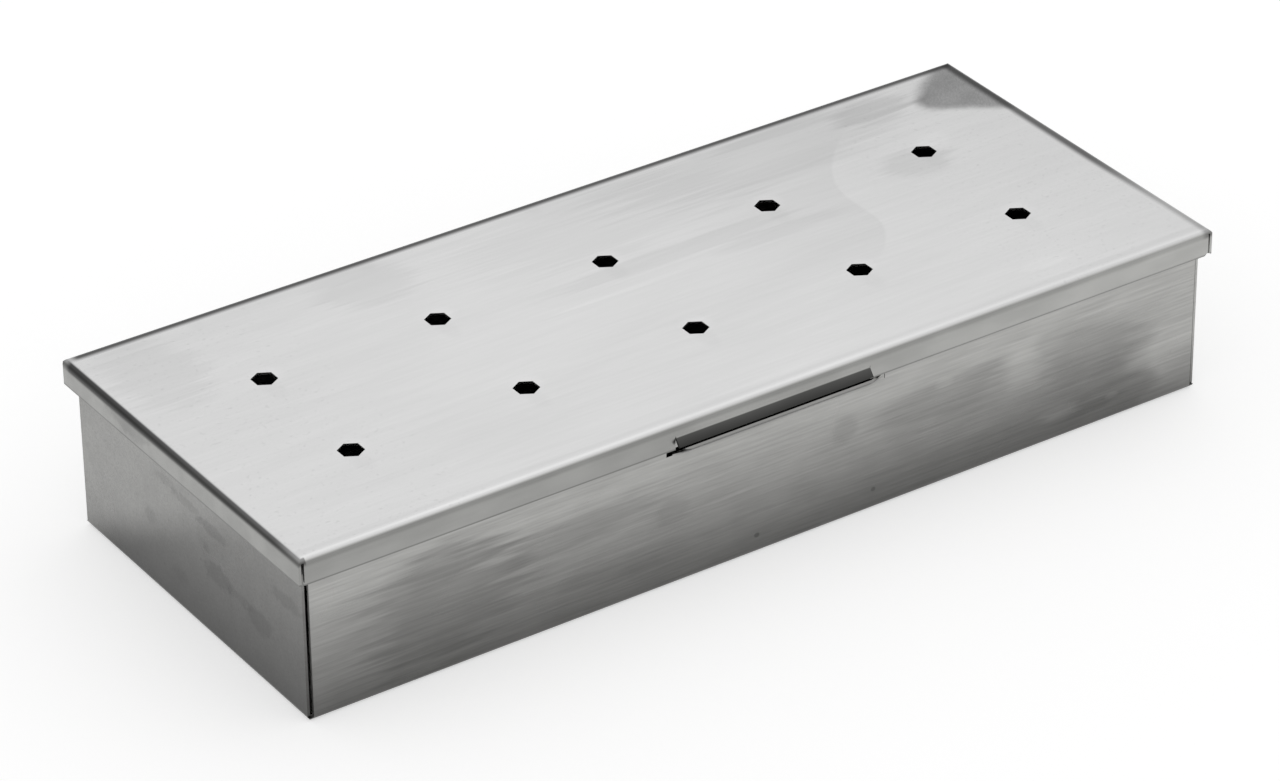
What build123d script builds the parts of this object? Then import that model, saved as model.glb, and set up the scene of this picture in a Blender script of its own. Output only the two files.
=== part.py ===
from build123d import *
from math import acos, degrees, pi, radians, sin
import os

# Smoker box of thin stainless sheet: a folded tray for wood chips and a folded lid with
# smoke vents, joined at the rear by two small pin hinges. Millimetres, +Z up, -Y is the
# front. The origin is the middle of the tray's flat underside.

# ---------------------------------------------------------------- sheet and folds
sheet = 0.6                 # thickness of the tray and the lid
bend_inside = 0.8           # inside radius of every fold
seam_foot = 0.9             # height of the closed corner before the seam opens

# ---------------------------------------------------------------- tray
tray_length = 226.0
tray_depth = 90.4
tray_height = 39.2
tray_end_setback = 0.6      # how far the end walls stop short of the front and rear faces
tray_front_setback = 1.2    # how far the front and rear walls stop short of the end faces

# ---------------------------------------------------------------- lid
lid_play_ends = 1.2         # mean gap between the lid's end flanges and the tray's end walls
lid_play_front = 1.0        # the same at the front wall
lid_shift = 0.2             # how far the lid hangs to the right of the tray's middle
flange_depth = 6.1
lid_end_setback = 0.2       # how far the end flanges stop short of the front and rear faces
lid_front_setback = 1.15    # how far the front and rear flanges stop short of the end faces
flange_clip = 0.8           # legs of the cut across the front flange's right-hand corner

# ---------------------------------------------------------------- smoke vents
vent_flats = 5.0            # hexagon across flats, corners pointing front and rear
vent_columns = 5
vent_rows = 2
vent_pitch_x = 42.3
vent_pitch_y = 34.0
vent_centre_y = -0.3

# ---------------------------------------------------------------- lifting tab
tab_width = 48.8
tab_centre_x = -0.7
tab_drop = 2.9              # from the lid's top face to the line where the tab bends
tab_length = 2.7            # from that line to the tab's free edge, along the sheet
tab_flare = 38.0            # degrees that the tab leans out from the flange
tab_bend = 0.5              # inside radius of that bend
tab_side_gap = 0.12         # slit at each side of the tab

# ---------------------------------------------------------------- draught lip
lip_opening = 55.2          # length of the slot that the lip opens
lip_centre_x = 1.2
lip_base_below_rim = 8.9    # where the lip starts to curl out of the wall
lip_radius = 2.2            # radius of the lip's outer face
lip_turn = 65.0             # degrees that the lip curls
lip_left_relief = 1.5       # notch between the lip and the slot's left-hand end
lip_right_relief = 0.15
lip_relief_floor = 1.15     # height of the notches' floor above the lip's base
lip_left_height = 1.4       # height of the lip where it leaves the wall
lip_right_height = 2.6
lip_run_out = 4.0           # length of each tapered end

# ---------------------------------------------------------------- hinges
hinge_width = 30.0
hinge_inset = 47.8          # from the tray's end wall to the middle of the hinge
leaf_sheet = 0.6
leaf_corner = 2.0
tray_leaf_drop = 13.0       # from the pin down to the leaf's lower edge
lid_leaf_margin = 0.3       # from the leaf's upper edge to the fold above it
centre_knuckle = 10.0
knuckle_gap = 0.3           # between neighbouring knuckles, and round them
barrel_standoff = 0.3       # between the knuckles and the tray's rear wall
roll_turn = 290.0           # degrees that a leaf is rolled round its pin
joggle_radius = 1.5         # radius of the two small bends that set the barrel off
pin_radius = 0.9
pin_clearance = 0.05
pin_head_radius = 1.3
pin_head_height = 0.5
pin_head_round = 0.3
pin_end_play = 0.1
flange_clearance = 0.35     # between the barrel and the flange's lower edge

# ---------------------------------------------------------------- worked out
bend_outside = bend_inside + sheet
front_face = -tray_depth / 2
rear_face = tray_depth / 2
front_overhang = lid_play_front + sheet
knuckle_bore = pin_radius + pin_clearance
barrel_radius = knuckle_bore + leaf_sheet
pin_y = rear_face + barrel_standoff + barrel_radius
rear_overhang = pin_y + barrel_radius - leaf_sheet - rear_face
lid_length = tray_length + 2 * (lid_play_ends + sheet)
lid_depth = tray_depth + front_overhang + rear_overhang
lid_centre_y = (rear_overhang - front_overhang) / 2
lid_top = tray_height + sheet
lip_base = tray_height - lip_base_below_rim
flange_edge = lid_top - flange_depth
pin_z = flange_edge - flange_clearance - barrel_radius
pierce = 4 * sheet          # depth of a cut that has to pass right through one wall


def folded_pan(length, depth, height, end_setback, front_setback):
    """A flat panel with four walls folded up, their corners left open as seams."""
    on_floor = (Align.CENTER, Align.CENTER, Align.MIN)
    outside = Box(length, depth, height, align=on_floor)
    outside = fillet(outside.edges().group_by(Axis.Z)[0], bend_outside)
    inside = Box(length - 2 * sheet, depth - 2 * sheet, height, align=on_floor)
    inside = fillet(inside.edges().group_by(Axis.Z)[0], bend_inside)
    pan = outside - Pos(0, 0, sheet) * inside
    end_trim = Box(2 * sheet, 2 * end_setback, height, align=on_floor)
    for corner in GridLocations(length, depth, 2, 2):
        pan -= corner * Pos(0, 0, seam_foot) * end_trim
    front_trim = Box(front_setback - sheet, sheet, height, align=on_floor)
    for wall_end in GridLocations(length - sheet - front_setback, depth - sheet, 2, 2):
        pan -= wall_end * Pos(0, 0, seam_foot) * front_trim
    return pan


def along_x(profile, start, width):
    """Extrude a profile drawn in Y and Z from x = start over the given width."""
    return extrude(Plane.YZ.offset(start) * profile, width)


def block(x_range, y_range, z_range):
    """A plain block between two limits on each axis."""
    size = [high - low for low, high in (x_range, y_range, z_range)]
    middle = [(high + low) / 2 for low, high in (x_range, y_range, z_range)]
    return Pos(*middle) * Box(*size)


def face_between(outer, inner):
    """The face between two open lines that run the same way."""
    return make_face([outer, Line(outer @ 1, inner @ 1), inner, Line(inner @ 0, outer @ 0)])


def curled_section():
    """The lip's cross-section where it is curled right out."""
    centre = (front_face - lip_radius, lip_base)
    outer = CenterArc(centre, lip_radius, 0, lip_turn)
    inner = CenterArc(centre, lip_radius + sheet, 0, lip_turn)
    return face_between(outer, inner)


def flat_section(height):
    """The lip's cross-section at an end, where it still lies flat in the wall."""
    outer = Line((front_face, lip_base), (front_face, lip_base + height))
    inner = Line((front_face + sheet, lip_base), (front_face + sheet, lip_base + height))
    return face_between(outer, inner)


def draught_lip(start, end):
    """The curled lip between two x positions, with a tapered run-out at each end."""
    curled = curled_section()
    curl_start = start + lip_run_out
    curl_end = end - lip_run_out
    lip = along_x(curled, curl_start, curl_end - curl_start)
    run_outs = ((start, curl_start, lip_left_height), (end, curl_end, lip_right_height))
    for tip, root, height in run_outs:
        tip_face = Plane.YZ.offset(tip) * flat_section(height)
        lip += loft([tip_face, Plane.YZ.offset(root) * curled], ruled=True)
    return lip


def make_tray():
    """Tray: one folded sheet with a slot and a curled lip in its front wall."""
    tray = folded_pan(tray_length, tray_depth, tray_height, tray_end_setback, tray_front_setback)
    slot_top = lip_base + (lip_radius + sheet / 2) * lip_turn * pi / 180
    slot_start = lip_centre_x - lip_opening / 2
    slot_end = lip_centre_x + lip_opening / 2
    lip_start = slot_start + lip_left_relief
    lip_end = slot_end - lip_right_relief
    through = (front_face - pierce, front_face + pierce)
    tray -= block((slot_start, slot_end), through, (lip_base + lip_relief_floor, slot_top))
    tray -= block((lip_start, lip_end), through, (lip_base, slot_top))
    return tray + draught_lip(lip_start, lip_end)


def lifting_tab():
    """The tab cut from the lid's front flange and flared outward."""
    flange_middle = front_face - front_overhang + sheet / 2
    bend_radius = tab_bend + sheet / 2
    bend = JernArc((flange_middle, lid_top - tab_drop), (0, -1), bend_radius, -tab_flare)
    straight = tab_length - bend_radius * tab_flare * pi / 180
    blade = Line(bend @ 1, bend @ 1 + (bend % 1) * straight)
    return along_x(trace([bend, blade], sheet), tab_centre_x - tab_width / 2, tab_width)


def make_lid():
    """Lid: a shallow folded pan turned over, with vents and a lifting tab."""
    pan = folded_pan(lid_length, lid_depth, flange_depth, lid_end_setback, lid_front_setback)
    lid = Pos(lid_shift, lid_centre_y, lid_top) * Rot(X=180) * pan
    hexagon = RegularPolygon(vent_flats / 2, 6, major_radius=False, rotation=30)
    vent = extrude(hexagon, pierce, both=True)
    vent_middle = Pos(lid_shift, vent_centre_y, lid_top)
    for place in GridLocations(vent_pitch_x, vent_pitch_y, vent_columns, vent_rows):
        lid -= vent_middle * place * vent
    flange_face = front_face - front_overhang
    through = (flange_face - pierce, flange_face + pierce)
    window_half = tab_width / 2 + tab_side_gap
    window = (tab_centre_x - window_half, tab_centre_x + window_half)
    lid -= block(window, through, (flange_edge - pierce, lid_top - tab_drop))
    clip_side = flange_clip * 2 ** 0.5
    flange_end = lid_shift + lid_length / 2 - lid_front_setback
    clip = Pos(flange_end, flange_face, flange_edge) * Rot(Y=45)
    lid -= clip * Box(clip_side, 2 * sheet, clip_side)
    return lid + lifting_tab()


def knuckle_ranges():
    """The x ranges of the tray leaf's two outer knuckles and the lid leaf's middle one."""
    half = hinge_width / 2
    inner = centre_knuckle / 2 + knuckle_gap
    outer_knuckles = [(-half, -inner), (inner, half)]
    middle_knuckle = [(-centre_knuckle / 2, centre_knuckle / 2)]
    return outer_knuckles, middle_knuckle


def leaf_plate(inner_face, low, high, rounded_end):
    """The flat of a leaf, with its two free corners rounded."""
    plate = block(
        (-hinge_width / 2, hinge_width / 2),
        (inner_face, inner_face + leaf_sheet),
        (low, high),
    )
    corners = plate.edges().filter_by(Axis.Y).group_by(Axis.Z)[rounded_end]
    return fillet(corners, leaf_corner)


def with_knuckles(plate, path, knuckles):
    """The plate with its knuckles, each one a strip of the sheet that follows the path."""
    strip = trace(path, leaf_sheet)
    for start, end in knuckles:
        plate += along_x(strip, start, end - start)
    return plate


def make_tray_leaf():
    """The lower leaf, flat on the tray's rear wall, joggled out to its two knuckles."""
    middle = rear_face + leaf_sheet / 2
    bend = degrees(acos(1 - barrel_standoff / (2 * joggle_radius)))
    joggle_height = 2 * joggle_radius * sin(radians(bend))
    plate_top = pin_z - barrel_radius - knuckle_gap
    plate = leaf_plate(rear_face, pin_z - tray_leaf_drop, plate_top, 0)
    foot = min(plate_top, pin_z - joggle_height) - leaf_sheet
    rise = Line((middle, foot), (middle, pin_z - joggle_height))
    outward = JernArc(rise @ 1, (0, 1), joggle_radius, -bend)
    upright = JernArc(outward @ 1, outward % 1, joggle_radius, bend)
    roll = JernArc(upright @ 1, (0, 1), barrel_radius - leaf_sheet / 2, -roll_turn)
    outer_knuckles, _ = knuckle_ranges()
    return with_knuckles(plate, [rise, outward, upright, roll], outer_knuckles)


def make_lid_leaf():
    """The upper leaf, flat on the lid's rear flange, with one knuckle in the middle."""
    inner_face = rear_face + rear_overhang
    middle = inner_face + leaf_sheet / 2
    plate_top = lid_top - bend_outside - lid_leaf_margin
    plate_foot = pin_z + barrel_radius + knuckle_gap
    plate = leaf_plate(inner_face, plate_foot, plate_top, -1)
    drop = Line((middle, plate_foot + leaf_sheet), (middle, pin_z))
    roll = JernArc(drop @ 1, (0, -1), barrel_radius - leaf_sheet / 2, -roll_turn)
    _, middle_knuckle = knuckle_ranges()
    return with_knuckles(plate, [drop, roll], middle_knuckle)


def make_hinge_pin():
    """A plain pin with a low peened head at each end."""
    half = hinge_width / 2 + pin_end_play
    pin = Cylinder(pin_radius, 2 * half)
    for side in (-1, 1):
        head = Cylinder(pin_head_radius, pin_head_height)
        rim = head.edges().sort_by(Axis.Z)[-1]
        head = fillet(rim, pin_head_round)
        seat = Pos(0, 0, half + pin_head_height / 2) * head
        pin += seat if side > 0 else Rot(X=180) * seat
    return Pos(0, pin_y, pin_z) * Rot(Y=90) * pin


os.makedirs("parts", exist_ok=True)
export_step(make_tray(), "parts/tray.step")
export_step(make_lid(), "parts/lid.step")
for side, x_sign in (("left", -1), ("right", 1)):
    place = Pos(x_sign * (tray_length / 2 - hinge_inset), 0, 0)
    export_step(place * make_tray_leaf(), f"parts/{side}_hinge_tray_leaf.step")
    export_step(place * make_lid_leaf(), f"parts/{side}_hinge_lid_leaf.step")
    export_step(place * make_hinge_pin(), f"parts/{side}_hinge_pin.step")
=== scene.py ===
# %% [markdown]
# # A stainless steel smoker box
# The box is folded from thin sheet: a tray for wood chips, and a lid that turns on two small
# hinges at the rear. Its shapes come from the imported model, so this lesson is about light and
# steel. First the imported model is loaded. Its objects are never moved here.

# %% Load the frame
import math

import bmesh
import bpy
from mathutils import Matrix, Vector

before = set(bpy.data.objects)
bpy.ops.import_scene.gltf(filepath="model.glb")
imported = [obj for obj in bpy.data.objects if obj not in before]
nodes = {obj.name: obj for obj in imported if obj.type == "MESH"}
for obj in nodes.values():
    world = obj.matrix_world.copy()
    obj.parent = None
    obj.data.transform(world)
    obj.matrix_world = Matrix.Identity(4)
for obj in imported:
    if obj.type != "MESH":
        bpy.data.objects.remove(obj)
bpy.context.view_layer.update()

print("nodes:", sorted(nodes))

# %% [markdown]
# ## Camera
# The picture is taken with a long lens from the front left and above, so the long edges run
# almost parallel. The place and the turn below were fitted to the straight edges of the box and
# to its vents. A lens shift would fit a little closer, but it pushed the box out of the frame in
# other views, so there is none.

# %% Camera
CAMERA_PLACE = (-0.574002, -0.852132, 0.636902)
CAMERA_TURN = (58.8521, 0.5142, -34.1640)
CAMERA_LENS = 158.275

camera_data = bpy.data.cameras.new("product_camera")
camera_data.lens = CAMERA_LENS
camera_data.clip_start = 0.01
camera = bpy.data.objects.new("product_camera", camera_data)
camera.location = CAMERA_PLACE
camera.rotation_euler = [math.radians(angle) for angle in CAMERA_TURN]
bpy.context.scene.collection.objects.link(camera)
bpy.context.scene.camera = camera
bpy.context.scene.view_settings.view_transform = "Standard"
print("lens in millimetres:", CAMERA_LENS)

# %% [markdown]
# ## Small helpers for node trees
# A node tree is easier to read when each line adds one node. `add_node` makes a node and sets
# what it is given: values by input name, and settings by keyword. `wire` joins two sockets.

# %% Helpers for node trees
def add_node(tree, kind, inputs=None, **settings):
    node = tree.nodes.new(kind)
    for name, value in settings.items():
        setattr(node, name, value)
    for name, value in (inputs or {}).items():
        node.inputs[name].default_value = value
    return node


def wire(tree, source, target):
    tree.links.new(source, target)


def maths(tree, operation, first, second=None):
    """A Math node on sockets or plain numbers; gives its output socket."""
    node = add_node(tree, "ShaderNodeMath", operation=operation)
    for slot, value in enumerate((first, second)):
        if isinstance(value, (int, float)):
            node.inputs[slot].default_value = value
        elif value is not None:
            wire(tree, value, node.inputs[slot])
    return node.outputs[0]


def ramp_between(tree, value, low, high, to_low=0.0, to_high=1.0, smooth=True):
    """A Map Range node, clamped, and smooth unless it is told otherwise."""
    node = add_node(
        tree,
        "ShaderNodeMapRange",
        {"From Min": low, "From Max": high, "To Min": to_low, "To Max": to_high},
        interpolation_type="SMOOTHSTEP" if smooth else "LINEAR",
    )
    wire(tree, value, node.inputs["Value"])
    return node.outputs["Result"]


def start_group(name, inputs, outputs):
    """An empty node group with named float or vector sockets."""
    group = bpy.data.node_groups.new(name, "ShaderNodeTree")
    for label, (kind, default) in inputs.items():
        socket = group.interface.new_socket(label, in_out="INPUT", socket_type=kind)
        socket.default_value = default
    for label in outputs:
        group.interface.new_socket(label, in_out="OUTPUT", socket_type="NodeSocketFloat")
    return group, group.nodes.new("NodeGroupInput"), group.nodes.new("NodeGroupOutput")


print("helpers ready")

# %% [markdown]
# ## Floor and background
# The box lies on a plain white floor under a white world. The floor's own paint stays a little
# below white, so that the soft shadow under the box shows, and a glow that only the camera and
# the reflections see lifts the open floor to white. Polished steel is drawn by what it mirrors,
# so the metal sees the same white room.

# %% Floor and background
FLOOR_SIZE = 12.0
FLOOR_TONE = 0.80
FLOOR_GLOW = 0.50
FLOOR_ROUGHNESS = 0.9
WORLD_LIGHT = 0.62


def seen_or_mirrored(tree):
    """1 for camera, glossy and transmission rays, and 0 for the rays that carry light."""
    path = tree.nodes.new("ShaderNodeLightPath")
    seen = maths(tree, "MAXIMUM", path.outputs["Is Camera Ray"], path.outputs["Is Glossy Ray"])
    return maths(tree, "MAXIMUM", seen, path.outputs["Is Transmission Ray"])


floor_mesh = bpy.data.meshes.new("floor")
floor_bm = bmesh.new()
bmesh.ops.create_grid(floor_bm, x_segments=1, y_segments=1, size=FLOOR_SIZE / 2)
floor_bm.to_mesh(floor_mesh)
floor_bm.free()
floor = bpy.data.objects.new("floor", floor_mesh)
bpy.context.scene.collection.objects.link(floor)

floor_paint = bpy.data.materials.new("white_floor")
floor_paint.use_nodes = True
tree = floor_paint.node_tree
shader = tree.nodes["Principled BSDF"]
shader.inputs["Base Color"].default_value = (FLOOR_TONE, FLOOR_TONE, FLOOR_TONE, 1)
shader.inputs["Roughness"].default_value = FLOOR_ROUGHNESS
shader.inputs["Specular IOR Level"].default_value = 0.0
glow = add_node(tree, "ShaderNodeEmission")
wire(tree, maths(tree, "MULTIPLY", seen_or_mirrored(tree), FLOOR_GLOW), glow.inputs["Strength"])
both = tree.nodes.new("ShaderNodeAddShader")
wire(tree, shader.outputs[0], both.inputs[0])
wire(tree, glow.outputs[0], both.inputs[1])
wire(tree, both.outputs[0], tree.nodes["Material Output"].inputs["Surface"])
floor_mesh.materials.append(floor_paint)

world = bpy.data.worlds.new("studio")
bpy.context.scene.world = world
world.use_nodes = True
tree = world.node_tree
strength = ramp_between(tree, seen_or_mirrored(tree), 0, 1, WORLD_LIGHT, 1.0, smooth=False)
wire(tree, strength, tree.nodes["Background"].inputs["Strength"])
tree.nodes["Background"].inputs["Color"].default_value = (1, 1, 1, 1)
print("floor tone", FLOOR_TONE, "world light", WORLD_LIGHT)

# %% [markdown]
# ## Soft light
# One wide soft light hangs high at the right rear. It lays the soft shadow on the floor, and it
# is the slightly brighter line that the front fold mirrors. A photographer would darken the
# other folds with black cards. The flat top would mirror such cards from other sides, so here
# the dark folds are painted in the lid's steel.

# %% Soft light
LIGHT_PLACE = (0.80, 0.45, 1.35)
LIGHT_SIDE = 1.2
LIGHT_RADIANCE = 0.18
BOX_CENTRE = (0, 0, 0.03)

light_data = bpy.data.lights.new("overhead_soft_light", "AREA")
light_data.shape = "SQUARE"
light_data.size = LIGHT_SIDE
light_data.energy = LIGHT_RADIANCE * math.pi * LIGHT_SIDE ** 2
light = bpy.data.objects.new("overhead_soft_light", light_data)
light.location = LIGHT_PLACE
light_aim = Vector(BOX_CENTRE) - Vector(LIGHT_PLACE)
light.rotation_euler = light_aim.to_track_quat("-Z", "Y").to_euler()
bpy.context.scene.collection.objects.link(light)
print("soft light placed, watts:", round(light_data.energy, 2))

# %% [markdown]
# ## Grain
# Brushed sheet carries fine lines from the brushing belt. An image could hold them, but it would
# need unfolding. Here a noise that is squeezed across the lines and stretched along them does
# the work. It is a node group with named inputs, so that every steel sets its own spacing.

# %% Grain
# A noise seldom leaves this span, so it is stretched to run from 0 to 1.
NOISE_SPAN = (0.3, 0.7)


def make_grain_group():
    """Fine lines along the sheet's length: a tone from 0 to 1 and a height for bump."""
    group, start, end = start_group(
        "brushed_grain",
        {
            "Along": ("NodeSocketFloat", 30.0),
            "Across": ("NodeSocketFloat", 2400.0),
            "Tilt": ("NodeSocketFloat", 0.0),
        },
        ("Tone", "Height"),
    )
    place = group.nodes.new("ShaderNodeTexCoord")
    split = group.nodes.new("ShaderNodeSeparateXYZ")
    wire(group, place.outputs["Object"], split.inputs[0])
    drop = maths(group, "MULTIPLY", split.outputs["X"], start.outputs["Tilt"])
    scaled = group.nodes.new("ShaderNodeCombineXYZ")
    wire(group, maths(group, "MULTIPLY", split.outputs["X"], start.outputs["Along"]),
         scaled.inputs["X"])
    for axis in ("Y", "Z"):
        across = maths(group, "SUBTRACT", split.outputs[axis], drop)
        wire(group, maths(group, "MULTIPLY", across, start.outputs["Across"]),
             scaled.inputs[axis])
    noise = add_node(group, "ShaderNodeTexNoise", {"Scale": 1.0, "Detail": 2.0, "Roughness": 0.6})
    wire(group, scaled.outputs[0], noise.inputs["Vector"])
    wire(group, noise.outputs["Fac"], end.inputs["Height"])
    lines = ramp_between(group, noise.outputs["Fac"], *NOISE_SPAN, smooth=False)
    wire(group, lines, end.inputs["Tone"])
    return group


grain_group = make_grain_group()
print("group:", grain_group.name)

# %% [markdown]
# ## Clouds
# Sheet that was rolled, handled and wiped is never one even grey. A low, soft noise gives broad
# patches. Its stretch along X turns them into bands that follow the wiping.

# %% Clouds
def make_cloud_group():
    """Broad soft patches, stretched along X: a value from 0 to 1."""
    group, start, end = start_group(
        "handled_clouds",
        {
            "Size": ("NodeSocketFloat", 0.05),
            "Stretch": ("NodeSocketFloat", 0.5),
            "Offset": ("NodeSocketFloat", 0.0),
        },
        ("Value",),
    )
    place = group.nodes.new("ShaderNodeTexCoord")
    scale = group.nodes.new("ShaderNodeCombineXYZ")
    wire(group, start.outputs["Stretch"], scale.inputs["X"])
    scale.inputs["Y"].default_value = 1
    scale.inputs["Z"].default_value = 1
    stretch = add_node(group, "ShaderNodeVectorMath", operation="MULTIPLY")
    wire(group, place.outputs["Object"], stretch.inputs[0])
    wire(group, scale.outputs[0], stretch.inputs[1])
    shift = add_node(group, "ShaderNodeVectorMath", operation="ADD")
    wire(group, stretch.outputs[0], shift.inputs[0])
    wire(group, start.outputs["Offset"], shift.inputs[1])
    noise = add_node(group, "ShaderNodeTexNoise", {"Detail": 2.0, "Roughness": 0.5})
    wire(group, shift.outputs[0], noise.inputs["Vector"])
    wire(group, maths(group, "DIVIDE", 1.0, start.outputs["Size"]), noise.inputs["Scale"])
    wire(group, ramp_between(group, noise.outputs["Fac"], *NOISE_SPAN), end.inputs["Value"])
    return group


cloud_group = make_cloud_group()
print("group:", cloud_group.name)

# %% [markdown]
# ## Smudge
# A single mark has a place, so noise alone can't make it. This group measures how far a point is
# from the mark's middle, in units of the mark's reach, and lets a streaky noise fray the edge.

# %% Smudge
# Streaks per metre along X, Y and Z, and the distances, in reaches, at which the smudge starts to
# fade and has ended.
SMUDGE_STREAKS = (40.0, 700.0, 700.0)
SMUDGE_EDGE = (0.55, 1.1)


def make_smudge_group():
    """One smudge: 1 in its middle and 0 outside; its soft edge frays along X."""
    group, start, end = start_group(
        "smudge",
        {
            "Centre": ("NodeSocketVector", (0.0, 0.0, 0.0)),
            "Reach": ("NodeSocketVector", (0.01, 0.01, 0.01)),
            "Ragged": ("NodeSocketFloat", 0.6),
        },
        ("Value",),
    )
    place = group.nodes.new("ShaderNodeTexCoord")
    offset = add_node(group, "ShaderNodeVectorMath", operation="SUBTRACT")
    wire(group, place.outputs["Object"], offset.inputs[0])
    wire(group, start.outputs["Centre"], offset.inputs[1])
    shrunk = add_node(group, "ShaderNodeVectorMath", operation="DIVIDE")
    wire(group, offset.outputs[0], shrunk.inputs[0])
    wire(group, start.outputs["Reach"], shrunk.inputs[1])
    length = add_node(group, "ShaderNodeVectorMath", operation="LENGTH")
    wire(group, shrunk.outputs[0], length.inputs[0])
    drawn = add_node(group, "ShaderNodeVectorMath", {1: SMUDGE_STREAKS}, operation="MULTIPLY")
    wire(group, place.outputs["Object"], drawn.inputs[0])
    noise = add_node(group, "ShaderNodeTexNoise", {"Scale": 1.0, "Detail": 2.0})
    wire(group, drawn.outputs[0], noise.inputs["Vector"])
    ragged = maths(group, "MULTIPLY", maths(group, "SUBTRACT", noise.outputs["Fac"], 0.5),
                   start.outputs["Ragged"])
    edge = maths(group, "ADD", length.outputs["Value"], ragged)
    wire(group, ramp_between(group, edge, *SMUDGE_EDGE, 1.0, 0.0), end.inputs["Value"])
    return group


smudge_group = make_smudge_group()
print("group:", smudge_group.name)

# %% [markdown]
# ## Specks
# Here and there the sheet shows tiny dark spots. Only the highest tops of a very fine noise are
# let through, which leaves such spots with wide gaps between them.

# %% Specks
SPECK_TOPS = (0.64, 0.74)


def make_speck_group():
    """Tiny scattered specks: 1 in each speck and 0 between them."""
    group, start, end = start_group(
        "specks", {"Density": ("NodeSocketFloat", 1100.0)}, ("Value",)
    )
    place = group.nodes.new("ShaderNodeTexCoord")
    noise = add_node(group, "ShaderNodeTexNoise", {"Detail": 1.0})
    wire(group, place.outputs["Object"], noise.inputs["Vector"])
    wire(group, start.outputs["Density"], noise.inputs["Scale"])
    wire(group, ramp_between(group, noise.outputs["Fac"], *SPECK_TOPS), end.inputs["Value"])
    return group


speck_group = make_speck_group()
print("group:", speck_group.name)

# %% [markdown]
# ## Tone tools
# Every steel below is one grey tone that runs through a chain of small changes: dimmed here,
# streaked there. These helpers each add one link to the chain and give the new tone back.

# %% Tone tools
def use_group(tree, group, **values):
    node = tree.nodes.new("ShaderNodeGroup")
    node.node_tree = group
    for name, value in values.items():
        node.inputs[name].default_value = value
    return node


def object_axes(tree):
    """The object's own X, Y and Z as three sockets."""
    place = tree.nodes.new("ShaderNodeTexCoord")
    split = tree.nodes.new("ShaderNodeSeparateXYZ")
    wire(tree, place.outputs["Object"], split.inputs[0])
    return split.outputs["X"], split.outputs["Y"], split.outputs["Z"]


def times(tree, first, second):
    return maths(tree, "MULTIPLY", first, second)


def dimmed(tree, tone, mask, share):
    """The tone where the mask is 0, and share times the tone where the mask is 1."""
    return times(tree, tone, ramp_between(tree, mask, 0, 1, 1.0, share, smooth=False))


def dimmed_by(tree, tone, mask, share):
    """Like dimmed, with a share that comes from a socket."""
    left = maths(tree, "SUBTRACT", 1.0, times(tree, mask, maths(tree, "SUBTRACT", 1.0, share)))
    return times(tree, tone, left)


def blended(tree, first, second, mask):
    """The first tone where the mask is 0, and the second where it is 1."""
    return maths(tree, "ADD", times(tree, maths(tree, "SUBTRACT", 1.0, mask), first),
                 times(tree, mask, second))


print("tone tools ready")

# %% [markdown]
# ## Marks and lines on a tone
# Used sheet shows smudges, specks, brushed lines and clouds. Each helper here places one of the
# node groups with its own values, so a steel's function reads like a list of what is seen on it.

# %% Marks and lines on a tone
def smudged(tree, tone, centre, reach, share, ragged):
    """The tone with one smudge on it; share is the tone left in the smudge's middle."""
    node = use_group(tree, smudge_group, Centre=centre, Reach=reach, Ragged=ragged)
    return dimmed(tree, tone, node.outputs["Value"], share)


def specked(tree, tone, where, share):
    """The tone with tiny scattered specks where the mask lets them."""
    specks = use_group(tree, speck_group)
    return dimmed(tree, tone, times(tree, specks.outputs["Value"], where), share)


def brushed(tree, tone, along, across, tilt, spread):
    """The tone with brushed lines of the given spread to each side of it."""
    grain = use_group(tree, grain_group, Along=along, Across=across, Tilt=tilt)
    lines = ramp_between(tree, grain.outputs["Tone"], 0, 1, 1 - spread, 1 + spread, False)
    return times(tree, tone, lines)


def clouded(tree, tone, size, stretch, offset, spread):
    """The tone with soft clouds of the given spread to each side of it."""
    cloud = use_group(tree, cloud_group, Size=size, Stretch=stretch, Offset=offset)
    drift = ramp_between(tree, cloud.outputs["Value"], 0, 1, 1 - spread, 1 + spread, False)
    return times(tree, tone, drift)


print("marks and lines ready")

# %% [markdown]
# ## A grey steel to start from
# Every steel here is metallic, softly rough and finely grained. The roughness drifts a little in
# broad patches, as on handled sheet, and the grain is a very shallow bump. Each steel starts from
# this one and adds its own tone.

# %% A grey steel to start from
ROUGHNESS_DRIFT = 0.03
DRIFT_SIZE = 0.03
DRIFT_OFFSET = 3.1
GRAIN_HEIGHT = 0.00002


def grey_steel(name, roughness, grain_strength):
    """A steel with grain bump and no tone yet; gives the material, tree and shader."""
    paint = bpy.data.materials.new(name)
    paint.use_nodes = True
    tree = paint.node_tree
    shader = tree.nodes["Principled BSDF"]
    shader.inputs["Metallic"].default_value = 1.0
    cloud = use_group(tree, cloud_group, Size=DRIFT_SIZE, Offset=DRIFT_OFFSET)
    drifting = ramp_between(tree, cloud.outputs["Value"], 0, 1,
                            roughness, roughness + ROUGHNESS_DRIFT, smooth=False)
    wire(tree, drifting, shader.inputs["Roughness"])
    grain = use_group(tree, grain_group)
    bump = add_node(tree, "ShaderNodeBump", {"Strength": grain_strength, "Distance": GRAIN_HEIGHT})
    wire(tree, grain.outputs["Height"], bump.inputs["Height"])
    wire(tree, bump.outputs[0], shader.inputs["Normal"])
    return paint, tree, shader


def colour_from(tree, tone, shader, tint=(1.0, 1.0, 1.0)):
    """Use the tone as a grey, or nearly grey, base colour."""
    colour = tree.nodes.new("ShaderNodeCombineColor")
    for channel, share in zip(("Red", "Green", "Blue"), tint):
        wire(tree, times(tree, tone, share), colour.inputs[channel])
    wire(tree, colour.outputs[0], shader.inputs["Base Color"])


print("grey steel ready")

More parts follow.
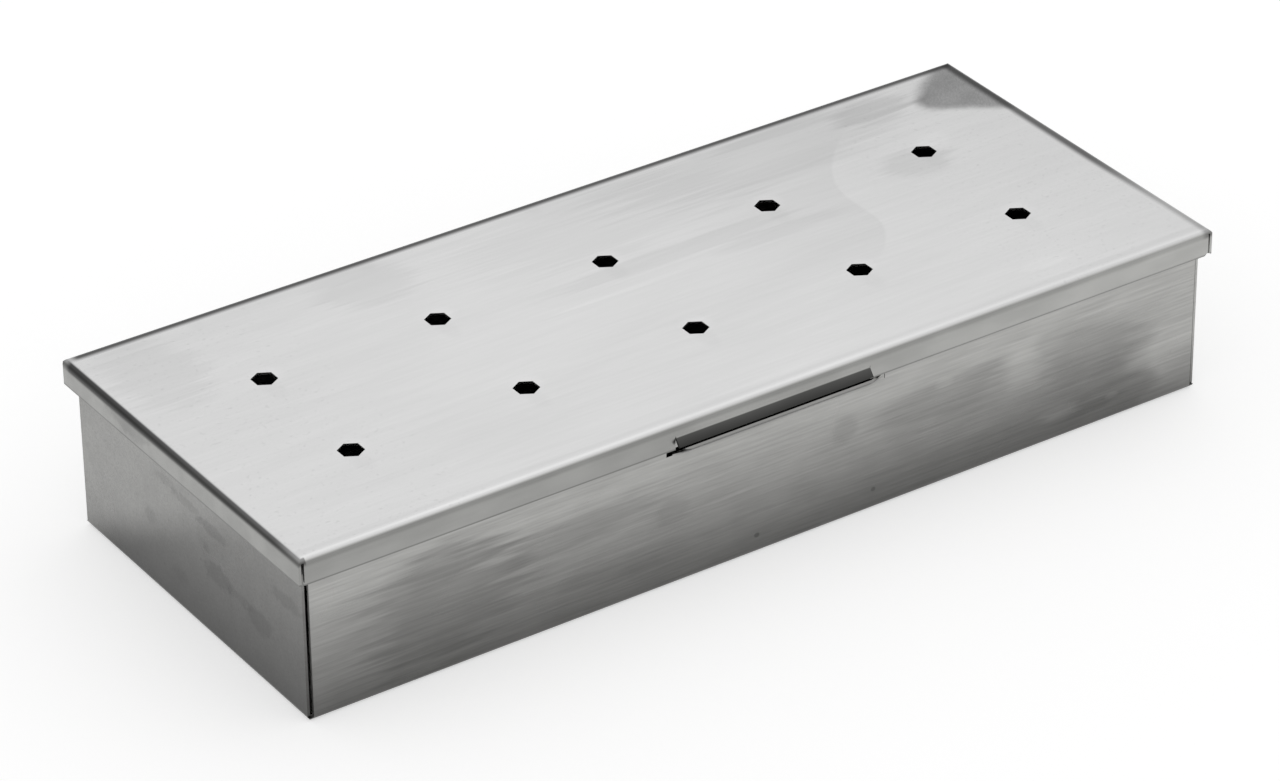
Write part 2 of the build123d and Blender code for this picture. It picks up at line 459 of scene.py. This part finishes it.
# %% [markdown]
# ## Marks on the lid
# The top of the real lid is pale satin steel with wiped and hazy patches. They could be drawn in
# an image, but each is simply one smudge. A table keeps them readable, because every row can be
# moved by itself.

# %% Marks on the lid
# The tone falls from the first value to the second between two places along X.
LID_TOP_TONES = (0.67, 0.603)
LID_TOP_FALL = (-0.03, 0.10)
LID_TOP = 0.0398
LID_FRAYING = 1.1
MARK_DEPTH = 0.004

# Where the haze along the rear edge and the pitted ends set in, and the share that each leaves.
REAR_HAZE = (0.028, 0.043)
REAR_HAZE_SHARE = 0.965
PITTED_RIGHT = (0.055, 0.080)
PITTED_LEFT = (-0.080, -0.060)
PITTED_SHARE = 0.93

# Middle x and y, reach along x and y, and the share of the tone that is left.
LID_MARKS = {
    "hazy rear right": (0.052, 0.036, 0.046, 0.014, 0.91),
    "streak beside the stain": (0.0865, 0.0385, 0.0125, 0.0060, 0.86),
    "streak at the rear": (0.066, 0.0425, 0.026, 0.0022, 0.93),
    "hazy rear middle": (0.008, 0.033, 0.040, 0.018, 0.95),
    "dark wipe": (0.012, 0.0115, 0.038, 0.0035, 0.93),
    "second dark wipe": (0.038, 0.0060, 0.022, 0.0030, 0.95),
    "light wipe": (-0.004, 0.0042, 0.020, 0.0009, 1.035),
    "hazy rear left": (-0.048, 0.038, 0.013, 0.011, 0.93),
    "hazy left end": (-0.102, 0.031, 0.012, 0.017, 0.93),
    "haze at the rear right vent": (0.0810, 0.0140, 0.0100, 0.0070, 0.90),
    "shine at the rear right vent": (0.0895, 0.0195, 0.0052, 0.0042, 1.035),
    "front wipe": (-0.060, -0.030, 0.034, 0.003, 0.98),
    "light patch at the front": (0.076, -0.0375, 0.007, 0.0025, 1.03),
}


def wiped_top(tree, x, y):
    """The top's tone, which falls towards the right, with its smudges and specks."""
    tone = ramp_between(tree, x, *LID_TOP_FALL, *LID_TOP_TONES, smooth=False)
    for middle_x, middle_y, reach_x, reach_y, share in LID_MARKS.values():
        tone = smudged(tree, tone, (middle_x, middle_y, LID_TOP),
                       (reach_x, reach_y, MARK_DEPTH), share, LID_FRAYING)
    tone = dimmed(tree, tone, ramp_between(tree, y, *REAR_HAZE), REAR_HAZE_SHARE)
    pitted_ends = maths(tree, "ADD", ramp_between(tree, x, *PITTED_RIGHT),
                        ramp_between(tree, x, *PITTED_LEFT, 1.0, 0.0))
    return specked(tree, tone, pitted_ends, PITTED_SHARE)


print("marks on the lid:", len(LID_MARKS))

# %% [markdown]
# ## Dark patch in the rear right corner
# One corner is much darker, like a stain or a reflection; a single photograph can't tell which.
# It has two nearly straight sides and a blunt tip, so it is the overlap of two half planes and
# one step along X, with edges that drift a little.

# %% Dark corner
# A point on each straight side, the direction that leads into the dark patch, and half the width
# of the soft edge.
DARK_CORNER_REAR_SIDE = ((0.0962, 0.0366), (0.603, -0.797), 0.0020)
DARK_CORNER_FRONT_SIDE = ((0.0962, 0.0328), (0.517, 0.856), 0.0024)
DARK_CORNER_TIP = (0.0942, 0.0985)
DARK_CORNER_EDGE_DRIFT = 0.0016
DARK_CORNER_SHARES = (0.38, 0.44)


def beyond_line(tree, x, y, point, direction, soft):
    """1 on the side of a straight line in the XY plane that the direction points to."""
    along_x = maths(tree, "SUBTRACT", x, point[0])
    along_y = maths(tree, "SUBTRACT", y, point[1])
    distance = maths(tree, "ADD", times(tree, along_x, direction[0]),
                     times(tree, along_y, direction[1]))
    return ramp_between(tree, distance, -soft, soft)


def darkened_corner(tree, tone, x, y):
    """The tone with the dark corner patch on it."""
    uneven = use_group(tree, cloud_group, Size=0.0060, Stretch=0.80, Offset=4.0)
    cloud = uneven.outputs["Value"]
    drift = times(tree, maths(tree, "SUBTRACT", cloud, 0.5), DARK_CORNER_EDGE_DRIFT)
    drift_x = maths(tree, "ADD", x, drift)
    drift_y = maths(tree, "ADD", y, drift)
    within_rear = beyond_line(tree, drift_x, y, *DARK_CORNER_REAR_SIDE)
    within_front = beyond_line(tree, x, drift_y, *DARK_CORNER_FRONT_SIDE)
    darkening = times(tree, within_rear, within_front)
    darkening = times(tree, darkening, ramp_between(tree, drift_x, *DARK_CORNER_TIP))
    share = ramp_between(tree, cloud, 0, 1, *DARK_CORNER_SHARES, smooth=False)
    share = brushed(tree, share, along=300.0, across=1500.0, tilt=0.9, spread=0.10)
    return dimmed_by(tree, tone, darkening, share)


print("stain starts at x =", DARK_CORNER_TIP[0])

# %% [markdown]
# ## Edge of the wiped patch
# Between the two right-hand pairs of vents runs a faint curved edge, as if a cloth had stopped
# there. The edge is straight in its middle. The square of the distance from there bends it to the
# right at the rear and to the left at the front, which takes no curve and no image.

# %% Wiped patch
WIPE_EDGE = 0.0587
WIPE_EDGE_SOFT = (-0.0005, 0.0007)
WIPE_FADE = (-0.055, -0.004)
WIPE_STRAIGHT_TO = 0.008
WIPE_BEND_REAR = 25.0
WIPE_BEND_FRONT = 40.0
WIPE_FRONT_END = (-0.020, -0.006)
WIPE_REAR_END = (0.026, 0.038)
WIPE_SHARE = 0.94


def wiped_patch(tree, tone, x, y):
    """The tone, a little darker to the left of the curved edge."""
    rearward = maths(tree, "MAXIMUM", maths(tree, "SUBTRACT", y, WIPE_STRAIGHT_TO), 0.0)
    forward = maths(tree, "MINIMUM", y, 0.0)
    bend = maths(tree, "SUBTRACT", times(tree, times(tree, rearward, rearward), WIPE_BEND_REAR),
                 times(tree, times(tree, forward, forward), WIPE_BEND_FRONT))
    past_edge = maths(tree, "SUBTRACT", maths(tree, "SUBTRACT", x, WIPE_EDGE), bend)
    wiped = times(tree, ramp_between(tree, past_edge, *WIPE_EDGE_SOFT, 1.0, 0.0),
                  ramp_between(tree, past_edge, *WIPE_FADE))
    wiped = times(tree, wiped, ramp_between(tree, y, *WIPE_FRONT_END))
    wiped = times(tree, wiped, ramp_between(tree, y, *WIPE_REAR_END, 1.0, 0.0))
    return dimmed(tree, tone, wiped, WIPE_SHARE)


print("wiped patch ends at x =", WIPE_EDGE)

# %% [markdown]
# ## Painted highlights and shade at the vents
# Each vent has a slightly brighter rim on its far side, a painted highlight on the dip that
# punching can leave, and a faint painted shade in front. The vents lie on a regular grid, so the
# place inside one grid cell is enough to draw all ten at once.

# %% Highlights and shade at the vents
VENT_PITCH = (0.0423, 0.0340)
VENT_MIDDLE = (0.0002, -0.0003)
# A column of vents lies on the middle line, and the two rows lie half a pitch beside it. The four
# whole cells keep the count above zero.
VENT_CELL_SHIFT = (4.5, 4.0)
# How far each spot lies off its vent's middle, and how far it reaches, along X and Y.
# The first row is the painted highlight on the far rim, the second the painted shade in front.
RIM_HIGHLIGHT = ((0.0010, 0.0012), (0.0046, 0.0042))
VENT_SHADE = ((-0.0004, -0.0050), (0.0030, 0.0050))
SPOT_EDGE = (0.35, 1.0)
RIM_HIGHLIGHT_GAIN = 1.045
VENT_SHADE_SHARE = 0.97


def near_vents(tree, x, y, offset, reach):
    """1 at a spot that lies the same way off every vent, and 0 elsewhere."""
    squares = []
    for axis, place in enumerate((x, y)):
        middle = VENT_MIDDLE[axis] + offset[axis]
        pitch = VENT_PITCH[axis]
        cells = maths(tree, "DIVIDE", maths(tree, "SUBTRACT", place, middle), pitch)
        part = maths(tree, "FRACT", maths(tree, "ADD", cells, VENT_CELL_SHIFT[axis]))
        off = times(tree, maths(tree, "SUBTRACT", part, 0.5), pitch / reach[axis])
        squares.append(times(tree, off, off))
    distance = maths(tree, "SQRT", maths(tree, "ADD", *squares))
    return ramp_between(tree, distance, *SPOT_EDGE, 1.0, 0.0)


def vent_highlights_and_shade(tree, tone, x, y):
    """The tone with a painted highlight behind and a painted shade in front of each vent."""
    tone = dimmed(tree, tone, near_vents(tree, x, y, *RIM_HIGHLIGHT), RIM_HIGHLIGHT_GAIN)
    return dimmed(tree, tone, near_vents(tree, x, y, *VENT_SHADE), VENT_SHADE_SHARE)


print("vent pitch in metres:", VENT_PITCH)

# %% [markdown]
# ## Front and rear folds of the lid
# A fold is round, so it mirrors much of the room in a thin line. Here the front fold gets a soft
# grey band and the rear fold a dark line, both painted reflections. The height on a fold tells how
# far the sheet has turned, so it steers the masks.

# %% Front and rear folds
# Painted reflections on the folds: where the band and the rear fold lie, and how dark they are.
# Each pair holds the two places between which a mask changes.
FOLD_HEIGHTS = (0.0376, 0.0386)
BAND_ENDS = (0.0389, 0.0395)
BAND_SHARE = 0.78
REAR_FOLD = (0.0446, 0.0463)
REAR_FOLD_LEFT_END = (-0.1138, -0.1115)
REAR_FOLD_LEFT_STRENGTH = 0.3
REAR_FOLD_SHARE = 0.12


def front_and_rear_folds(tree, tone, x, y, z, on_fold):
    """Painted reflections: the soft band, which runs all round, and the dark rear fold, weaker at
    its left end.
    """
    band = times(tree, on_fold, ramp_between(tree, z, *BAND_ENDS, 1.0, 0.0))
    tone = dimmed(tree, tone, band, BAND_SHARE)
    fold = times(tree, ramp_between(tree, y, *REAR_FOLD), on_fold)
    left_end = ramp_between(tree, x, *REAR_FOLD_LEFT_END, REAR_FOLD_LEFT_STRENGTH, 1.0)
    return dimmed(tree, tone, times(tree, fold, left_end), REAR_FOLD_SHARE)


print("folds start at height", FOLD_HEIGHTS[0])

# %% [markdown]
# ## Right and left folds of the lid
# Both side folds are painted dark lines, painted reflections that change on their way to the
# front:
# the right one thins out and pales, and the left one climbs. One ramp along Y therefore moves each
# mask, where a plain line would look drawn on.

# %% Right and left folds
# Painted reflections: the dark lines on the right and left folds.
RIGHT_FOLD = (0.1112, 0.1130)
RIGHT_FOLD_PALES = (-0.034, -0.004)
RIGHT_FOLD_THINS = 0.0006
RIGHT_FOLD_SHARES = (0.17, 0.57)
LEFT_FOLD = (-0.1131, -0.1128)
LEFT_FOLD_TOP = (0.03956, 0.03979)
LEFT_FOLD_FOOT = (0.0379, 0.0389)
LEFT_FOLD_CLIMBS = (-0.040, 0.030)
LEFT_FOLD_CLIMB = 0.0007
LEFT_FOLD_REAR_END = (0.0448, 0.0470)
LEFT_FOLD_REAR_STRENGTH = 0.35
LEFT_FOLD_FRONT_END = (-0.046, -0.036)
LEFT_FOLD_SHARES = (0.42, 0.19)
LEFT_FOLD_REAR_SHARE = 0.5


def right_fold(tree, tone, x, y, on_fold):
    """A dark line of painted reflection that thins out and pales towards the front."""
    towards_front = ramp_between(tree, y, *RIGHT_FOLD_PALES, 1.0, 0.0)
    across = maths(tree, "SUBTRACT", x, times(tree, towards_front, RIGHT_FOLD_THINS))
    fold = times(tree, ramp_between(tree, across, *RIGHT_FOLD), on_fold)
    share = ramp_between(tree, towards_front, 0, 1, *RIGHT_FOLD_SHARES, smooth=False)
    return dimmed_by(tree, tone, fold, share)


def left_fold(tree, tone, x, y, z):
    """A dark line of painted reflection that reaches lower and grows darker towards the rear."""
    towards_rear = ramp_between(tree, y, *LEFT_FOLD_CLIMBS, smooth=False)
    lowered = maths(tree, "ADD", z, times(tree, towards_rear, LEFT_FOLD_CLIMB))
    fold = times(tree, ramp_between(tree, x, *LEFT_FOLD, 1.0, 0.0),
                 ramp_between(tree, z, *LEFT_FOLD_TOP, 1.0, 0.0))
    fold = times(tree, fold, ramp_between(tree, lowered, *LEFT_FOLD_FOOT))
    rear_end = ramp_between(tree, y, *LEFT_FOLD_REAR_END, 1.0, LEFT_FOLD_REAR_STRENGTH)
    share = times(tree, ramp_between(tree, y, *LEFT_FOLD_FRONT_END, *LEFT_FOLD_SHARES),
                  ramp_between(tree, towards_rear, 0, 1, 1.0, LEFT_FOLD_REAR_SHARE, smooth=False))
    return dimmed_by(tree, tone, times(tree, fold, rear_end), share)


print("side folds from x =", LEFT_FOLD[0], "to", RIGHT_FOLD[1])

# %% [markdown]
# ## The lid's steel
# The folded flanges are painted darker than the top, a painted reflection of the room lower down,
# and they are a little warmer. The flared tab is painted dark, a painted reflection of the shade
# under the lid. A thin line of painted shade darkens the lower edge of the flanges. Top and
# flanges could be two materials, but the lid is one mesh with one slot, so a mask by height blends
# the two.

# %% Lid steel
# Painted reflection: the flanges are darker than the top and brighter to the right.
FLANGE_REFLECTION_TONE = 0.335
FLANGE_BRIGHTENS = (-0.02, 0.11)
FLANGE_GAIN = 1.22
FLANGE_PATCH_PLACE = (-0.1146, 0.0205, 0.0375)
FLANGE_PATCH_REACH = (MARK_DEPTH, 0.0100, 0.0032)
FLANGE_BLUE = 0.97
TOP_HEIGHTS = (0.0389, 0.0396)
FRONT_LINE_STARTS = (-0.0452, -0.0446)
FRONT_LINE_ENDS = (-0.0440, -0.0428)
FRONT_LINE_SHARE = 0.95
# Painted reflection: the flared tab is dark, darkest at its foot.
TAB_FACE = (-0.04700, -0.04685)
TAB_HEIGHTS = (0.0350, 0.0369)
TAB_REFLECTION_SHARES = (0.13, 0.27)
# Painted shade: a thin dark line along the lower edge of the flanges.
LOW_EDGE_SHADE = (0.03385, 0.03420)
LOW_EDGE_SHADE_SHARE = 0.62


def flange_tone(tree, x):
    """Painted reflection on the flanges, brighter to the right, with one darker patch on the left
    flange.
    """
    tone = times(tree, ramp_between(tree, x, *FLANGE_BRIGHTENS, 1.0, FLANGE_GAIN), FLANGE_REFLECTION_TONE)
    tone = clouded(tree, tone, size=0.006, stretch=0.35, offset=3.0, spread=0.07)
    return smudged(tree, tone, FLANGE_PATCH_PLACE, FLANGE_PATCH_REACH, share=0.80, ragged=0.8)


def top_tone(tree, x, y):
    """The top with all its marks, and a faint line beside the front fold."""
    tone = darkened_corner(tree, wiped_top(tree, x, y), x, y)
    tone = wiped_patch(tree, tone, x, y)
    front_line = times(tree, ramp_between(tree, y, *FRONT_LINE_STARTS),
                       ramp_between(tree, y, *FRONT_LINE_ENDS, 1.0, 0.0))
    tone = dimmed(tree, tone, front_line, FRONT_LINE_SHARE)
    return vent_highlights_and_shade(tree, tone, x, y)


def make_lid_steel():
    paint, tree, shader = grey_steel("lid_steel", roughness=0.24, grain_strength=0.16)
    x, y, z = object_axes(tree)
    top = ramp_between(tree, z, *TOP_HEIGHTS)
    tone = blended(tree, flange_tone(tree, x), top_tone(tree, x, y), top)
    tone = clouded(tree, tone, size=0.060, stretch=0.6, offset=0.0, spread=0.025)
    tone = clouded(tree, tone, size=0.004, stretch=0.15, offset=7.0, spread=0.012)
    tone = brushed(tree, tone, along=60.0, across=1500.0, tilt=0.0, spread=0.014)
    on_fold = ramp_between(tree, z, *FOLD_HEIGHTS)
    tone = front_and_rear_folds(tree, tone, x, y, z, on_fold)
    tone = right_fold(tree, tone, x, y, on_fold)
    tone = left_fold(tree, tone, x, y, z)
    # The flared tab gets its painted reflection of shade.
    tab = ramp_between(tree, y, *TAB_FACE, 1.0, 0.0)
    tab_share = ramp_between(tree, z, *TAB_HEIGHTS, *TAB_REFLECTION_SHARES, smooth=False)
    tone = dimmed_by(tree, tone, tab, tab_share)
    # Painted shade along the flanges' lower edge.
    tone = dimmed(tree, tone, ramp_between(tree, z, *LOW_EDGE_SHADE, 1.0, 0.0), LOW_EDGE_SHADE_SHARE)
    blue_share = ramp_between(tree, top, 0, 1, FLANGE_BLUE, 1.0, smooth=False)
    colour_from(tree, tone, shader, (1.0, 1.0, blue_share))
    return paint


lid_steel = make_lid_steel()
print("made", lid_steel.name)

# %% [markdown]
# ## Front wall of the tray
# The front wall runs from mid grey under the lid to dark grey at its foot. Its right end is
# brighter and stays so further down. These are reflections of a real room. A plain white one
# can't give them, so they are painted by height. Dark blotches as if from wiping, a few light
# smears and two specks lie on top, again one row each.

# %% Front wall
FRONT_WALL_TONES = (0.115, 0.285, 0.400)
FRONT_WALL_LEVELS = (0.0, 0.0170, 0.0285)
RIGHT_END = (0.099, 0.108)
RIGHT_END_TONES = (0.160, 0.390)
RIGHT_END_LEVELS = (0.0, 0.0145)
RIGHT_END_FRAYING = 0.008
FRONT_FACE = -0.0452

# Middle x and z, reach along x and z, the share of the tone that is left, and the fraying.
FRONT_WALL_MARKS = {
    "dark wiped blotch": (-0.0820, 0.0155, 0.0220, 0.0170, 0.78, 1.7),
    "its upper end": (-0.0790, 0.0265, 0.0140, 0.0055, 0.88, 1.6),
    "wipe beside the blotch": (-0.0480, 0.0215, 0.0210, 0.0045, 0.84, 1.5),
    "low wipe": (-0.0360, 0.0090, 0.0300, 0.0028, 0.92, 1.5),
    "left thumb mark": (-0.0250, 0.0178, 0.0045, 0.0040, 0.90, 1.2),
    "right thumb mark": (0.0186, 0.0222, 0.0040, 0.0036, 0.89, 1.2),
    "dark cloud": (0.0440, 0.0210, 0.0210, 0.0058, 0.85, 1.5),
    "light fleck": (0.0445, 0.0250, 0.0026, 0.0014, 1.10, 1.5),
    "light smear": (0.0655, 0.0212, 0.0062, 0.0065, 1.13, 1.7),
    "dark band": (0.0835, 0.0165, 0.0150, 0.0160, 0.86, 1.4),
    "dark foot": (0.0600, 0.0065, 0.0420, 0.0040, 0.93, 1.6),
    "low light smear": (0.0760, 0.0068, 0.0060, 0.0022, 1.22, 1.7),
    "low light fleck": (0.0900, 0.0062, 0.0022, 0.0009, 1.20, 1.5),
    "left speck": (-0.0038, 0.0045, 0.0008, 0.0007, 0.66, 0.2),
    "right speck": (0.0262, 0.0050, 0.0007, 0.0006, 0.72, 0.2),
}


def front_wall_tone(tree, x, z):
    """Two straight slopes in height, and a bright right end that reaches further down."""
    foot, middle, top = FRONT_WALL_TONES
    low, mid, high = FRONT_WALL_LEVELS
    tone = maths(tree, "ADD", ramp_between(tree, z, low, mid, foot, middle, smooth=False),
                 ramp_between(tree, z, mid, high, 0.0, top - middle, smooth=False))
    bright = ramp_between(tree, z, *RIGHT_END_LEVELS, *RIGHT_END_TONES, smooth=False)
    frayed = use_group(tree, cloud_group, Size=0.006, Stretch=0.25, Offset=9.0)
    frayed_x = maths(tree, "ADD", x, times(tree, frayed.outputs["Value"], RIGHT_END_FRAYING))
    return blended(tree, tone, bright, ramp_between(tree, frayed_x, *RIGHT_END))


print("marks on the front wall:", len(FRONT_WALL_MARKS))

# %% [markdown]
# ## Left wall of the tray
# The left wall is painted dark towards the front and light towards the rear, and a slanting edge
# between them is a painted reflection: the border of what it mirrors. The slant is the sum of y
# and a share of the height, so one ramp draws it. Bluish smears, as fingers leave, are made as
# simply darker ones here.

# %% Left wall
# Painted reflection: the dark slope, the light rear part and the slanting edge between them.
LEFT_WALL_DARK = (0.070, 0.213)
LEFT_WALL_DARK_LEVELS = (0.0, 0.0310)
LEFT_WALL_BRIGHT = (0.245, 0.288)
LEFT_WALL_BRIGHT_LEVELS = (0.002, 0.0140)
LEFT_WALL_SLANT = 1.85
LEFT_WALL_EDGE = (0.0325, 0.0545)
LEFT_FACE = -0.1130
LEFT_MARK_DEPTH = 0.003
LEFT_FRAYING = 1.2

# Middle y and z, reach along y and z, and the share of the tone that is left.
LEFT_WALL_MARKS = {
    "high smear, rear end": (0.0090, 0.0292, 0.0060, 0.0013, 0.87),
    "high smear, middle": (0.0010, 0.0281, 0.0080, 0.0014, 0.86),
    "high smear, front end": (-0.0095, 0.0267, 0.0070, 0.0017, 0.80),
    "smear at the front": (-0.0385, 0.0252, 0.0070, 0.0019, 0.83),
    "middle smear": (-0.0115, 0.0167, 0.0068, 0.0030, 0.79),
    "lower smear": (-0.0275, 0.0145, 0.0060, 0.0032, 0.80),
    "between the smears": (-0.0195, 0.0160, 0.0060, 0.0014, 0.88),
    "spot": (0.0163, 0.0172, 0.0024, 0.0022, 0.86),
    "small spot": (-0.0066, 0.0213, 0.0014, 0.0014, 0.84),
    "low spot": (0.0050, 0.0085, 0.0036, 0.0022, 0.90),
}


def left_wall_tone(tree, y, z):
    """A painted reflection: a dark slope with a light part behind a slanting edge."""
    dark = ramp_between(tree, z, *LEFT_WALL_DARK_LEVELS, *LEFT_WALL_DARK, smooth=False)
    bright = ramp_between(tree, z, *LEFT_WALL_BRIGHT_LEVELS, *LEFT_WALL_BRIGHT)
    slanted = maths(tree, "ADD", y, times(tree, z, LEFT_WALL_SLANT))
    return blended(tree, dark, bright, ramp_between(tree, slanted, *LEFT_WALL_EDGE))


print("marks on the left wall:", len(LEFT_WALL_MARKS))

# %% [markdown]
# ## The tray's steel
# One material dresses the whole tray, so masks along the axes pick out its parts: the left wall,
# the plain inside, the curled lip, painted dark with painted shade, and a painted highlight on its
# lighter cut edge, and the sheet's cut end in the open seam at the front left corner. A sheared
# end is rough and mirrors less, so it is made less metallic.

# %% Tray steel
# Each pair holds the two places between which a mask changes.
LEFT_WALL = (-0.1124, -0.1122)
INSIDE_TONE = 0.42
INSIDE_LENGTH = (0.1121, 0.1123)
INSIDE_DEPTH = (0.0443, 0.0446)
INSIDE_FLOOR = (0.0003, 0.0005)
PITTED_WALL_SHARE = 0.90
# Painted shade on the curled lip, and a painted highlight on its cut edge.
LIP = (-0.0460, -0.0452)
LIP_SHADE_SHARE = 0.24
LIP_EDGE = (0.03228, 0.03236)
LIP_EDGE_HIGHLIGHT_GAIN = 2.9
CUT_END_STARTS = (-0.1122, -0.1119)
CUT_END_ENDS = (-0.11178, -0.11172)
CUT_METALLIC = 0.25
TRAY_TINT = (1.0, 0.996, 0.968)


def inside_mask(tree, x, y, z):
    """1 on the faces that look into the tray."""
    within_length = ramp_between(tree, maths(tree, "ABSOLUTE", x), *INSIDE_LENGTH, 1.0, 0.0)
    within_depth = ramp_between(tree, maths(tree, "ABSOLUTE", y), *INSIDE_DEPTH, 1.0, 0.0)
    above_floor = ramp_between(tree, z, *INSIDE_FLOOR)
    return times(tree, times(tree, within_length, within_depth), above_floor)


def handled_walls(tree, tone):
    """The tone with the marks of the front wall and of the left wall."""
    for middle_x, middle_z, reach_x, reach_z, share, fraying in FRONT_WALL_MARKS.values():
        tone = smudged(tree, tone, (middle_x, FRONT_FACE, middle_z),
                       (reach_x, MARK_DEPTH, reach_z), share, fraying)
    for middle_y, middle_z, reach_y, reach_z, share in LEFT_WALL_MARKS.values():
        tone = smudged(tree, tone, (LEFT_FACE, middle_y, middle_z),
                       (LEFT_MARK_DEPTH, reach_y, reach_z), share, LEFT_FRAYING)
    return tone


def make_tray_steel():
    paint, tree, shader = grey_steel("tray_steel", roughness=0.26, grain_strength=0.16)
    x, y, z = object_axes(tree)
    on_left_wall = ramp_between(tree, x, *LEFT_WALL, 1.0, 0.0)
    tone = blended(tree, front_wall_tone(tree, x, z), left_wall_tone(tree, y, z), on_left_wall)
    tone = blended(tree, tone, INSIDE_TONE, inside_mask(tree, x, y, z))
    tone = clouded(tree, tone, size=0.040, stretch=0.4, offset=2.0, spread=0.04)
    tone = clouded(tree, tone, size=0.0060, stretch=0.60, offset=5.0, spread=0.030)
    tone = brushed(tree, tone, along=40.0, across=1500.0, tilt=0.0, spread=0.060)
    tone = brushed(tree, tone, along=90.0, across=2600.0, tilt=0.0, spread=0.070)
    tone = specked(tree, handled_walls(tree, tone), on_left_wall, PITTED_WALL_SHARE)
    # The curled lip's painted shade and its cut edge's painted highlight.
    lip = ramp_between(tree, y, *LIP, 1.0, 0.0)
    tone = dimmed(tree, tone, lip, LIP_SHADE_SHARE)
    lip_edge = times(tree, ramp_between(tree, z, *LIP_EDGE), lip)
    tone = dimmed(tree, tone, lip_edge, LIP_EDGE_HIGHLIGHT_GAIN)
    cut_end = times(tree, ramp_between(tree, x, *CUT_END_ENDS, 1.0, 0.0),
                    ramp_between(tree, x, *CUT_END_STARTS))
    metallic = ramp_between(tree, cut_end, 0, 1, 1.0, CUT_METALLIC, smooth=False)
    wire(tree, metallic, shader.inputs["Metallic"])
    colour_from(tree, tone, shader, TRAY_TINT)
    return paint


tray_steel = make_tray_steel()
print("made", tray_steel.name)

# %% [markdown]
# ## Hinge steel
# The photograph hides the hinges, so their finish is a guess: plain satin sheet, each leaf held
# by two round spot welds. A weld shows as a dull ring around a bright middle, so it is a wide
# dark smudge with a small bright one on top of it.

# %% Hinge steel
HINGE_MIDDLES = (-0.0652, 0.0652)
HINGE_TONES = (0.34, 0.50)
HINGE_LEVELS = (0.018, 0.040)
WELD_OFFSET = 0.008
WELD_HEIGHTS = (0.0240, 0.0368)
WELD_FACE = 0.047
# Reach, share of the tone and fraying: first the dull ring, then the bright middle.
WELD_SMUDGES = ((0.0021, 0.72, 0.15), (0.0012, 1.45, 0.10))


def weld_spots():
    """The middles of all eight spot welds."""
    return [(middle + side * WELD_OFFSET, WELD_FACE, level)
            for middle in HINGE_MIDDLES for side in (-1, 1) for level in WELD_HEIGHTS]


def make_hinge_steel():
    paint, tree, shader = grey_steel("hinge_steel", roughness=0.30, grain_strength=0.12)
    z = object_axes(tree)[2]
    tone = ramp_between(tree, z, *HINGE_LEVELS, *HINGE_TONES, smooth=False)
    tone = clouded(tree, tone, size=0.010, stretch=0.7, offset=1.0, spread=0.06)
    tone = brushed(tree, tone, along=40.0, across=2500.0, tilt=0.0, spread=0.04)
    for spot in weld_spots():
        for reach, share, fraying in WELD_SMUDGES:
            tone = smudged(tree, tone, spot, (reach, MARK_DEPTH, reach), share, fraying)
    colour_from(tree, tone, shader)
    return paint


hinge_steel = make_hinge_steel()
print("made", hinge_steel.name, "with", len(weld_spots()), "spot welds")

# %% [markdown]
# ## Pin steel
# The pins are hidden too, and are guessed as bright wire that turning in the knuckles has marked
# round and round. So the lines are close together along X here, where on the sheets they run
# along it.

# %% Pin steel
PIN_TONES = (0.46, 0.60)
PIN_LEVELS = (0.0300, 0.0335)


def make_pin_steel():
    paint, tree, shader = grey_steel("pin_steel", roughness=0.20, grain_strength=0.10)
    z = object_axes(tree)[2]
    tone = ramp_between(tree, z, *PIN_LEVELS, *PIN_TONES, smooth=False)
    tone = brushed(tree, tone, along=900.0, across=300.0, tilt=0.0, spread=0.05)
    colour_from(tree, tone, shader)
    return paint


pin_steel = make_pin_steel()
print("made", pin_steel.name)

# %% [markdown]
# ## Dressing the nodes
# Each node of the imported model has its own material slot. Only the slot's material changes, so
# every mesh stays as it came.

# %% Give the steels to the nodes
for name, node in nodes.items():
    if name == "lid":
        paint = lid_steel
    elif name == "tray":
        paint = tray_steel
    elif name.endswith("_pin"):
        paint = pin_steel
    else:
        paint = hinge_steel
    for slot in node.material_slots:
        slot.material = paint
    print(name, "is", paint.name)
